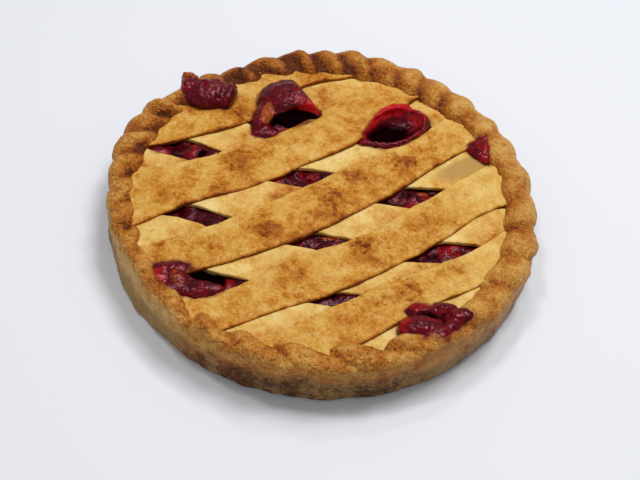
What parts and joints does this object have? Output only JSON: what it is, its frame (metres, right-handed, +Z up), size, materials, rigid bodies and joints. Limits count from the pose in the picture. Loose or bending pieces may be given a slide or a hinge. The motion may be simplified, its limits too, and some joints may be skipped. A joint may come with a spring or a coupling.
{
  "type": "cherry pie",
  "caption": "Round lattice-topped fruit pie with a rope-crimped rim, wide pastry strips laid crosswise in two layers over a cherry filling, and large pieces of fruit between the strips.",
  "frame": {"origin": "middle of the flat underside that the pie rests on", "axes": "+Z up, +Y away from the side that the lattice's low strips run towards, +X to the right of it"},
  "size_m": [0.2015, 0.2015, 0.0325],
  "materials": {
    "golden_crust": "baked shortcrust, browner on the ridges of the crimp, paler on the wall, satin",
    "golden_pastry": "golden mottled shortcrust with small blisters, satin",
    "pale_pastry": "pale cream shortcrust, matt",
    "cherry_jelly": "dark red set cherry juice, glossy",
    "cherry_skin": "cooked cherry skin and flesh, wet and glossy"
  },
  "bodies": {
    "root": {"crust": "golden_crust", "cherry_filling": "cherry_jelly", "lower_strip_1": "pale_pastry", "lower_strip_2": "pale_pastry", "lower_strip_3": "pale_pastry", "lower_strip_4": "pale_pastry", "lower_strip_5": "pale_pastry", "upper_strip_1": "golden_pastry", "upper_strip_2": "golden_pastry", "upper_strip_3": "golden_pastry", "upper_strip_4": "golden_pastry", "upper_strip_5": "golden_pastry", "cherry_rim_left": "cherry_skin", "cherry_back": "cherry_skin", "cherry_open": "cherry_skin", "cherry_right": "cherry_skin", "cherry_left": "cherry_skin", "cherry_middle": "cherry_skin", "cherry_front_left": "cherry_skin", "cherry_front_right_1": "cherry_skin", "cherry_front_right_2": "cherry_skin"}
  },
  "joints": []
}
